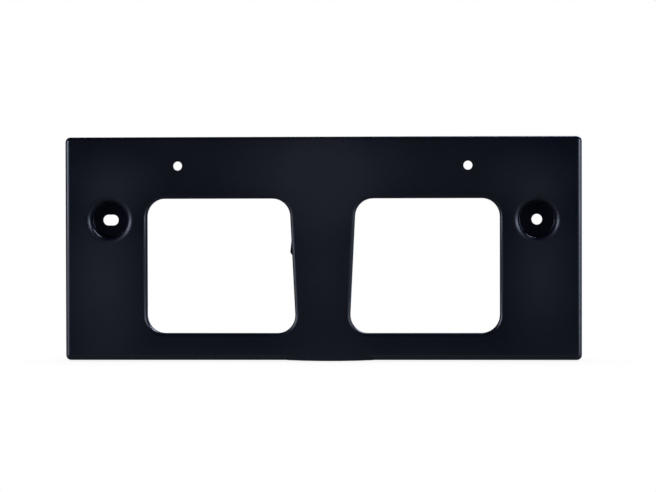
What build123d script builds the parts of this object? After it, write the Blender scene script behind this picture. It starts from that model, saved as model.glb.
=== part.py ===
from build123d import *
from math import radians, sqrt, tan
import os

# Number plate holder for the front of a car, moulded in one piece of black plastic.
# Millimetres. X runs to the right across the face, Z up, and Y from the face back to the bumper.
# The origin lies midway between the two bumper bolts, on the plane where the bolt cups seat.

# Face outline: how far it reaches past the bumper bolts to each side, above them and below them
face_side = 27.05
face_top = 50.8
face_bottom = 86.0
edge_radius = 3.1

# Moulded shell: one wall thickness all over, and a rear edge that follows the bumper's skin
wall = 2.3
skirt_draft = 1.5
bumper_radius = 1800.0

# Bumper bolts: a round hole on the right and a slot on the left, each in the floor of a cup
bolt_spacing = 262.4
bolt_hole = 6.6
bolt_slot_length = 9.8
cup_depth = 8.5
cup_floor = 3.0
cup_floor_diameter = 21.6
cup_wall = 2.5
cup_draft = 2.0
cup_rim_radius = 3.9
cup_root_radius = 0.4

# Plate screws: a line of two holes through the wall, at the spacing of a number plate
plate_screw_spacing = 177.8
plate_screw_height = 33.1
plate_screw_hole = 5.5
plate_screw_clearance = 12.0

# Windows, measured from the bumper bolts, with the pillar between them narrower at its foot
window_side = 22.95
window_top = 12.9
window_bottom = 69.5
pillar_top_width = 41.0
pillar_foot_width = 32.9
window_corner_radius = 11.0
window_edge_radius = 2.3
window_draft = 1.5

# Stiffening ribs behind the face, set back from the bumper
rib_thickness = 1.4
rib_setback = 1.5
rib_bays = 4
rib_cross_drop = 43.0

# Chin: a shallow lip under the middle of the bottom edge, flush with the face
chin_width = 53.0
chin_drop = 0.6
chin_offset = 4.5
chin_depth = 5.0

# Trimmed gate stub on the pillar's side of the left window
stub_top = 13.1
stub_peak = 19.9
stub_foot = 21.7
stub_reach = 1.05
stub_depth = 3.0

# Places worked out from the sizes above
bolt_x = bolt_spacing / 2
window_reach = bolt_x - window_side
face_depth = cup_floor + cup_depth
face_width = bolt_spacing + 2 * face_side
face_height = face_top + face_bottom
face_middle = (face_top - face_bottom) / 2
face_plane = Plane.XZ.offset(face_depth)
root_plane = face_plane.offset(-wall / 2)
inner_plane = face_plane.offset(-wall)
bolt_sag = bumper_radius - sqrt(bumper_radius**2 - bolt_x**2)
far_sag = bumper_radius - sqrt(bumper_radius**2 - face_width**2)
form_depth = face_depth + far_sag
cup_flare = tan(radians(cup_draft))
cup_foot = cup_floor_diameter / 2
cup_seats = [Plane((side * bolt_x, 0, 0), x_dir=(1, 0, 0), z_dir=(0, -1, 0)) for side in (-1, 1)]


def bumper_section(setback):
    """Everything behind the bumper's skin, seen from above, brought forward by the setback."""
    crown = -bolt_sag - setback
    with BuildSketch(Plane.XY) as section:
        with BuildLine():
            ThreePointArc((-face_width, crown + far_sag), (0, crown), (face_width, crown + far_sag))
            Polyline(
                (face_width, crown + far_sag),
                (face_width, 2 * form_depth),
                (-face_width, 2 * form_depth),
                (-face_width, crown + far_sag),
            )
        make_face()
    return section.sketch


def pillar_half_width(drop):
    """Half the pillar's width at a place this far below the bolt line."""
    share = (window_top + drop) / (window_top + window_bottom)
    return (pillar_top_width + share * (pillar_foot_width - pillar_top_width)) / 2


# Both window openings, seen from the front
with BuildSketch(face_plane) as windows:
    with BuildLine():
        Polyline(
            (pillar_half_width(-window_top), window_top),
            (window_reach, window_top),
            (window_reach, -window_bottom),
            (pillar_half_width(window_bottom), -window_bottom),
            close=True,
        )
    make_face()
    fillet(windows.vertices(), window_corner_radius)
    mirror(about=Plane.YZ)

# Ribs and cup walls, rooted in the face's wall. The ribs end inside the skirt and the returns
# round the windows, and the cup walls run down to the bumper.
window_clearing = offset(windows.sketch, amount=wall / 2, mode=Mode.PRIVATE)
rib_pitch = bolt_x / rib_bays
with BuildPart() as backing:
    with BuildSketch(root_plane):
        for bay in range(-rib_bays, rib_bays + 1):
            from_screw = abs(abs(bay * rib_pitch) - plate_screw_spacing / 2)
            if from_screw > plate_screw_clearance:
                with Locations((bay * rib_pitch, face_middle)):
                    Rectangle(rib_thickness, face_height - wall)
        for drop in (0, rib_cross_drop):
            with Locations((0, -drop)):
                Rectangle(face_width - wall, rib_thickness)
    extrude(amount=-form_depth)
    extrude(window_clearing, amount=-form_depth - wall, mode=Mode.SUBTRACT)
    extrude(bumper_section(rib_setback), amount=face_height, both=True, mode=Mode.SUBTRACT)
    with Locations(*cup_seats):
        Cone(
            bottom_radius=cup_foot + cup_wall - cup_floor * cup_flare,
            top_radius=cup_foot + cup_wall + (cup_depth - wall / 2) * cup_flare,
            height=face_depth - wall / 2,
            align=(Align.CENTER, Align.CENTER, Align.MIN),
        )

with BuildPart() as plate_bracket:
    # Solid form: the face outline carried back past the bumper, with draft
    with BuildSketch(face_plane):
        with Locations((0, face_middle)):
            Rectangle(face_width, face_height)
    extrude(amount=-form_depth)
    draft(plate_bracket.faces().filter_by(Axis.Y, reverse=True), face_plane, skirt_draft)

    # Windows through the form, widening a little towards the bumper
    extrude(windows.sketch, amount=-form_depth, mode=Mode.SUBTRACT)
    window_walls = plate_bracket.faces(Select.LAST).filter_by(Axis.Y, reverse=True)
    draft(window_walls, face_plane, -window_draft)

    # Shell: hollowed from behind, which leaves the skirt and the returns, then cut to the bumper
    offset(amount=-wall, openings=plate_bracket.faces().sort_by(Axis.Y)[-1])
    extrude(bumper_section(0), amount=face_height, both=True, mode=Mode.SUBTRACT)

    # Rounded outer edges and corners, and softer edges round the windows
    face = plate_bracket.faces().sort_by(Axis.Y)[0]
    corner_edges = plate_bracket.edges().sort_by_distance((0, 0, face_middle))[-4:]
    fillet(face.outer_wire().edges() + corner_edges, edge_radius)
    face = plate_bracket.faces().sort_by(Axis.Y)[0]
    fillet(face.inner_wires().edges(), window_edge_radius)
    add(backing.part)

    # Bolt cups: hollowed from the face to a flat floor, with a rounded rim and root
    with Locations(*[seat.offset(cup_floor) for seat in cup_seats]):
        Cone(
            bottom_radius=cup_foot,
            top_radius=cup_foot + cup_depth * cup_flare,
            height=cup_depth,
            align=(Align.CENTER, Align.CENTER, Align.MIN),
            mode=Mode.SUBTRACT,
        )
    cup_roots = plate_bracket.edges(Select.LAST).filter_by(GeomType.CIRCLE).group_by(Axis.Y)[-1]
    fillet(cup_roots, cup_root_radius)
    face = plate_bracket.faces().sort_by(Axis.Y)[0]
    fillet(face.edges().filter_by(lambda edge: edge.is_closed), cup_rim_radius)

    # Bolt hole and bolt slot through the cup floors
    with BuildSketch(Plane.XZ):
        with Locations((bolt_x, 0)):
            Circle(bolt_hole / 2)
        with Locations((-bolt_x, 0)):
            SlotOverall(bolt_slot_length, bolt_hole)
    extrude(amount=cup_floor, mode=Mode.SUBTRACT)

    # Plate screw holes through the front wall
    with BuildSketch(inner_plane):
        with Locations((0, plate_screw_height)):
            with GridLocations(plate_screw_spacing, 0, 2, 1):
                Circle(plate_screw_hole / 2)
    extrude(amount=wall, mode=Mode.SUBTRACT)

    # Chin: a flat lip that fills the rounded edge and bulges below it
    chin_left = chin_offset - chin_width / 2
    chin_right = chin_offset + chin_width / 2
    with BuildSketch(face_plane):
        with BuildLine():
            ThreePointArc(
                (chin_left, -face_bottom),
                (chin_offset, -face_bottom - chin_drop),
                (chin_right, -face_bottom),
            )
            Polyline(
                (chin_right, -face_bottom),
                (chin_right - edge_radius, edge_radius - face_bottom),
                (chin_left + edge_radius, edge_radius - face_bottom),
                (chin_left, -face_bottom),
            )
        make_face()
    extrude(amount=-chin_depth)

    # Gate stub: a small wedge left on the window's return, cut off on a slant below
    with BuildSketch(inner_plane):
        with BuildLine():
            Polyline(
                (wall / 2 - pillar_half_width(stub_top), -stub_top),
                (-pillar_half_width(stub_top), -stub_top),
                (-pillar_half_width(stub_peak) - stub_reach, -stub_peak),
                (-pillar_half_width(stub_foot), -stub_foot),
                (wall / 2 - pillar_half_width(stub_foot), -stub_foot),
                close=True,
            )
        make_face()
    extrude(amount=-stub_depth)

plate_bracket.part.label = "plate_bracket"
os.makedirs("parts", exist_ok=True)
export_step(plate_bracket.part, "parts/plate_bracket.step")
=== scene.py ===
from math import radians

import bpy
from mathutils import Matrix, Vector


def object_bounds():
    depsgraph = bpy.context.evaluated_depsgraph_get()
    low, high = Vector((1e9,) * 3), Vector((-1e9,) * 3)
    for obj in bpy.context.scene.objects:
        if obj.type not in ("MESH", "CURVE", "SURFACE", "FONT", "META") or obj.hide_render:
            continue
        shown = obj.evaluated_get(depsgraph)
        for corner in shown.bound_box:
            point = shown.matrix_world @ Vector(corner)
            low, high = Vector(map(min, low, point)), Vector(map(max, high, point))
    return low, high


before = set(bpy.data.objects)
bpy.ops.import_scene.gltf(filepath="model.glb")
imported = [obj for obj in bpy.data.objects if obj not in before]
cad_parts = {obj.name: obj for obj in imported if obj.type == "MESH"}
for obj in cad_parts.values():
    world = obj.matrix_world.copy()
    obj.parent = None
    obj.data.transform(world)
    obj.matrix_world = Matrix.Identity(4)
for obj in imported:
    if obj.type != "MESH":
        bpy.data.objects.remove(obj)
cad_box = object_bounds()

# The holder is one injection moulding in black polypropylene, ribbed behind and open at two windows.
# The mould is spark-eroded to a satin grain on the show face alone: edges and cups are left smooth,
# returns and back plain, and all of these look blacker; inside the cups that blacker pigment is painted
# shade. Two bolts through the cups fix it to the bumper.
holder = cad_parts["plate_bracket"]
satin_black = bpy.data.materials.new("satin_black_moulding")
satin_black.use_nodes = True
nodes = satin_black.node_tree.nodes
links = satin_black.node_tree.links
plastic = nodes["Principled BSDF"]
plastic.inputs["IOR"].default_value = 1.49
plastic.inputs["Specular IOR Level"].default_value = 0.5
place = nodes.new("ShaderNodeTexCoord").outputs["Object"]
place_parts = nodes.new("ShaderNodeSeparateXYZ")
links.new(place, place_parts.inputs["Vector"])
front_to_back = place_parts.outputs["Y"]
face_y = cad_box[0].y


def behind_face(start, end):
    """0 in front of the start and 1 behind the end, both measured back from the face."""
    step = nodes.new("ShaderNodeMapRange")
    step.interpolation_type = "SMOOTHSTEP"
    step.inputs["From Min"].default_value = face_y + start
    step.inputs["From Max"].default_value = face_y + end
    links.new(front_to_back, step.inputs["Value"])
    return step.outputs["Result"]


# Smooth mould: 0 on the grained face and 1 beyond it, with the change over the rounded edges
smooth = behind_face(start=0.0003, end=0.0020)


def feed(socket, term):
    """Join a socket to another node's output, or set it to a plain value."""
    if isinstance(term, bpy.types.NodeSocket):
        links.new(term, socket)
    else:
        socket.default_value = term


def reckoned(operation, *terms, clamped=False):
    """The result of one sum in the node tree in hand."""
    working = nodes.new("ShaderNodeMath")
    working.operation = operation
    working.use_clamp = clamped
    for socket, term in zip(working.inputs, terms):
        feed(socket, term)
    return working.outputs["Value"]


def field(middle, reach, strength, turn=0.0):
    """A soft field on the face, strongest in its middle and gone at its reach, turned in degrees."""
    spot = nodes.new("ShaderNodeMapping")
    spot.vector_type = "TEXTURE"
    spot.inputs["Location"].default_value = (middle[0], 0.0, middle[1])
    spot.inputs["Rotation"].default_value = (0.0, radians(turn), 0.0)
    spot.inputs["Scale"].default_value = (reach[0], 1.0, reach[1])
    links.new(place, spot.inputs["Vector"])
    fade = nodes.new("ShaderNodeTexGradient")
    fade.gradient_type = "SPHERICAL"
    links.new(spot.outputs["Vector"], fade.inputs["Vector"])
    return reckoned("MULTIPLY", fade.outputs["Fac"], strength)


def joined(parts):
    """The sum of several fields."""
    total = parts[0]
    for part in parts[1:]:
        total = reckoned("ADD", total, part)
    return total


# Core side of the mould: taken as all that lies deeper than the wall, except the insides of the cups,
# which keep the blacker smooth pigment as painted shade
bolt_x = 0.1312
cup_reach = (0.0128, 0.0128)
cup_strength = 10.0
cup_floor_middle = 0.0100
cups = joined([field((side * bolt_x, 0.0), cup_reach, cup_strength) for side in (-1, 1)])
before_floor = reckoned("LESS_THAN", front_to_back, face_y + cup_floor_middle)
inside_cups = reckoned("MULTIPLY", cups, before_floor)
behind_wall = behind_face(start=0.0021, end=0.0024)
core_side = reckoned("SUBTRACT", behind_wall, inside_cups, clamped=True)


def clouds(scale, detail):
    """An uneven pattern fixed to the holder, with about this many clouds to the metre."""
    noise = nodes.new("ShaderNodeTexNoise")
    noise.inputs["Scale"].default_value = scale
    noise.inputs["Detail"].default_value = detail
    links.new(place, noise.inputs["Vector"])
    return noise.outputs["Fac"]


def graded(kind, share, start, end):
    """A number or colour that goes from the start to the end as the share goes from 0 to 1."""
    grade = nodes.new("ShaderNodeMix")
    grade.data_type = kind
    feed(grade.inputs["Factor"], share)
    feed(grade.inputs["A"], start)
    feed(grade.inputs["B"], end)
    return grade.outputs["Result"]


# Pigment: carbon black with a cold cast, a little uneven through the melt, and blacker where smooth;
# inside the cups that blacker pigment is painted shade
lean_black = (0.0030, 0.0038, 0.0062, 1.0)
rich_black = (0.0046, 0.0058, 0.0094, 1.0)
smooth_black_and_cup_shade = (0.0032, 0.0036, 0.0080, 1.0)
core_black = (0.0036, 0.0043, 0.0066, 1.0)
melt = nodes.new("ShaderNodeValToRGB")
melt.color_ramp.elements[0].position = 0.2
melt.color_ramp.elements[0].color = lean_black
melt.color_ramp.elements[1].position = 0.8
melt.color_ramp.elements[1].color = rich_black
links.new(clouds(scale=45.0, detail=4.0), melt.inputs["Fac"])
# Blacker smooth pigment: on the rounded edges for their smooth finish, and inside the cups as painted
# shade
front_pigment = graded("RGBA", smooth, melt.outputs["Color"], smooth_black_and_cup_shade)
pigment = graded("RGBA", core_side, front_pigment, core_black)
links.new(pigment, plastic.inputs["Base Color"])

# Gloss: it drifts over the wide parts of the face, which cooled last and came out duller, with a slow
# mottle. Three upright edges of the windows are dull in their middles too.
over_pillar = [
    field((-0.004, 0.027), (0.062, 0.046), 0.72),
    field((0.001, -0.030), (0.042, 0.100), 1.02),
]
below_cups = [
    field((-0.134, -0.040), (0.036, 0.070), 1.4),
    field((0.133, -0.034), (0.032, 0.062), 1.3),
]
above_cups = [
    field((-0.127, 0.022), (0.034, 0.024), 0.7),
    field((0.128, 0.022), (0.036, 0.026), 0.75),
]
top_bar = [field((0.008, 0.032), (0.185, 0.042), 0.86)]
edge_height = -0.028
edge_reach = (0.0026, 0.037)
edge_strength = 3.0
window_edges = [
    field((-0.1080, edge_height), edge_reach, edge_strength),
    field((0.0182, edge_height), edge_reach, edge_strength, turn=2.8),
    field((0.1080, edge_height), edge_reach, edge_strength),
]
dull = joined(over_pillar + below_cups + above_cups + top_bar + window_edges)
mottle_strength = 0.35
uneven = reckoned("MULTIPLY_ADD", clouds(scale=18.0, detail=2.0), mottle_strength, dull)
shiny_below = 0.15
dull_above = 2.05
shiniest = 0.277
dullest = 0.73
smooth_finish = 0.28
core_finish = 0.42
gloss = nodes.new("ShaderNodeMapRange")
gloss.inputs["From Min"].default_value = shiny_below
gloss.inputs["From Max"].default_value = dull_above
gloss.inputs["To Min"].default_value = shiniest
gloss.inputs["To Max"].default_value = dullest
links.new(uneven, gloss.inputs["Value"])
front_finish = graded("FLOAT", smooth, gloss.outputs["Result"], smooth_finish)
finish = graded("FLOAT", core_side, front_finish, core_finish)
links.new(finish, plastic.inputs["Roughness"])

# Grain: spark-eroded texture, finer than half a millimetre, on the face alone
grain_height = 0.00004
etched = reckoned("SUBTRACT", 1.0, smooth)
relief = reckoned("MULTIPLY", clouds(scale=2600.0, detail=3.0), etched)
tooth = nodes.new("ShaderNodeBump")
tooth.inputs["Strength"].default_value = 0.25
tooth.inputs["Distance"].default_value = grain_height
links.new(relief, tooth.inputs["Height"])
links.new(tooth.outputs["Normal"], plastic.inputs["Normal"])
holder.material_slots[0].material = satin_black

# The floor is a sheet of white paper that sweeps up far behind the holder into a plain backdrop.
# It is white to the eye, with a soft shade where the holder stands, and grey to the lamps' light.
floor_level = cad_box[0].z
paper_gap = 0.0002
sweep_width = 10.0
sweep_length = 8.0
sweep_rise = 3.0
cove_radius = 0.8
bpy.ops.object.select_all(action="DESELECT")
bpy.ops.mesh.primitive_plane_add(size=1.0)
sweep = bpy.context.object
sweep.name = "paper_sweep"
sweep.scale = (sweep_width, sweep_length, 1.0)
sweep.location = (0.0, 0.0, floor_level - paper_gap)
bpy.ops.object.transform_apply(location=True, rotation=True, scale=True)
bpy.ops.object.mode_set(mode="EDIT")
bpy.ops.mesh.select_mode(type="EDGE")
bpy.ops.mesh.select_all(action="DESELECT")
bpy.ops.object.mode_set(mode="OBJECT")
near_back = sweep_length / 2 - 0.1
for edge in sweep.data.edges:
    ends = [sweep.data.vertices[i].co for i in edge.vertices]
    edge.select = all(end.y > near_back for end in ends)
bpy.ops.object.mode_set(mode="EDIT")
bpy.ops.mesh.extrude_region_move(TRANSFORM_OT_translate={"value": (0.0, 0.0, sweep_rise)})
bpy.ops.object.mode_set(mode="OBJECT")
cove = sweep.modifiers.new("cove", "BEVEL")
cove.width = cove_radius
cove.segments = 12
cove.limit_method = "ANGLE"
bpy.ops.object.modifier_apply(modifier="cove")
bpy.ops.object.shade_smooth()

paper = bpy.data.materials.new("white_paper")
paper.use_nodes = True
nodes = paper.node_tree.nodes
links = paper.node_tree.links
nodes.remove(nodes["Principled BSDF"])
matt = nodes.new("ShaderNodeBsdfDiffuse")
matt.inputs["Color"].default_value = (0.24, 0.24, 0.24, 1.0)
bright = nodes.new("ShaderNodeEmission")
ray = nodes.new("ShaderNodeLightPath")

# Contact shade: the white falls off a little within a few centimetres of the holder
shade_reach = 0.06
deepest_shade = 0.86
contact = nodes.new("ShaderNodeAmbientOcclusion")
contact.inputs["Distance"].default_value = shade_reach
shade = nodes.new("ShaderNodeMapRange")
shade.inputs["To Min"].default_value = deepest_shade
links.new(contact.outputs["AO"], shade.inputs["Value"])
links.new(shade.outputs["Result"], bright.inputs["Strength"])

# Glow: a strip at the foot of the face shows in the plastic, in the lamps' cool tint, and draws
# the light line along the bottom edge
cool_white = (0.68, 0.77, 1.0)
strip_middle = (0.0, -0.026, floor_level)
strip_reach = (0.50, 0.034, 0.14)
glow_strength = 0.37
tint = graded("RGBA", ray.outputs["Is Glossy Ray"], (1.0, 1.0, 1.0, 1.0), (*cool_white, 1.0))
links.new(tint, bright.inputs["Color"])
foot = nodes.new("ShaderNodeMapping")
foot.vector_type = "TEXTURE"
foot.inputs["Location"].default_value = strip_middle
foot.inputs["Scale"].default_value = strip_reach
links.new(nodes.new("ShaderNodeTexCoord").outputs["Object"], foot.inputs["Vector"])
strip = nodes.new("ShaderNodeTexGradient")
strip.gradient_type = "SPHERICAL"
links.new(foot.outputs["Vector"], strip.inputs["Vector"])
glow = reckoned("MULTIPLY", strip.outputs["Fac"], glow_strength)
mirrored = reckoned("MULTIPLY", ray.outputs["Is Glossy Ray"], glow)


def to_the_eye(path):
    """1 for what the camera sees, straight or through something clear, and 0 for all else."""
    return reckoned("ADD", path.outputs["Is Camera Ray"], path.outputs["Is Transmission Ray"])


look = nodes.new("ShaderNodeMixShader")
links.new(reckoned("ADD", to_the_eye(ray), mirrored), look.inputs["Fac"])
links.new(matt.outputs["BSDF"], look.inputs[1])
links.new(bright.outputs["Emission"], look.inputs[2])
links.new(look.outputs["Shader"], nodes["Material Output"].inputs["Surface"])
sweep.data.materials.append(paper)

# The room is a dim blue studio, and white only to the eye. The holder's sheen comes from the lamps,
# and the little light of the room keeps the shaded sides from going fully black.
room = bpy.data.worlds.new("dim_room")
bpy.context.scene.world = room
room.use_nodes = True
nodes = room.node_tree.nodes
links = room.node_tree.links
dim = nodes["Background"]
dim.inputs["Color"].default_value = (0.014, 0.018, 0.034, 1.0)
dim.inputs["Strength"].default_value = 1.0
white = nodes.new("ShaderNodeBackground")
white.inputs["Color"].default_value = (1.0, 1.0, 1.0, 1.0)
choice = nodes.new("ShaderNodeMixShader")
links.new(to_the_eye(nodes.new("ShaderNodeLightPath")), choice.inputs["Fac"])
links.new(dim.outputs["Background"], choice.inputs[1])
links.new(white.outputs["Background"], choice.inputs[2])
links.new(choice.outputs["Shader"], nodes["World Output"].inputs["Surface"])


# The lamps are three softboxes with cool white cloth. Two stand beside the holder, a little in front:
# they draw the light lines along the upright edges and rake across the face. The third stands behind,
# high on the right, so that the ribs and the walls of the cups show.
def softbox(name, stands_at, width, height, watts):
    """A soft rectangular lamp that faces the holder."""
    lamp = bpy.data.lights.new(name, "AREA")
    lamp.shape = "RECTANGLE"
    lamp.size = width
    lamp.size_y = height
    lamp.energy = watts
    lamp.spread = radians(75.0)
    lamp.color = cool_white
    stand = bpy.data.objects.new(name, lamp)
    stand.location = stands_at
    holder_middle = Vector((0.0, 0.0, -0.017))
    towards = holder_middle - Vector(stands_at)
    stand.rotation_euler = towards.to_track_quat("-Z", "Y").to_euler()
    bpy.context.scene.collection.objects.link(stand)


softbox("left_softbox", (-1.10, -0.49, 0.16), width=0.9, height=0.9, watts=3.7)
softbox("right_softbox", (1.135, -0.39, 0.16), width=0.9, height=0.9, watts=3.8)
softbox("back_softbox", (0.50, 0.95, 0.85), width=0.7, height=0.6, watts=2.6)

# The camera stands a metre and a half in front, a little to the right of square and nearly level
# with the holder. Its long lens keeps the far and near ends almost the same size.
photographer = bpy.data.cameras.new("camera")
photographer.sensor_width = 36.0
photographer.lens = 134.55
tripod = bpy.data.objects.new("camera", photographer)
tripod.location = (0.0656, -1.5101, 0.0053)
looks_at = Vector((0.00335, -0.0114, -0.0161))
camera_roll = -0.13
tripod.rotation_mode = "QUATERNION"
tripod.rotation_quaternion = (looks_at - tripod.location).to_track_quat("-Z", "Y")
tripod.rotation_mode = "XYZ"
tripod.rotation_euler.rotate_axis("Z", radians(camera_roll))
bpy.context.scene.collection.objects.link(tripod)
bpy.context.scene.camera = tripod
bpy.context.scene.view_settings.view_transform = "Standard"
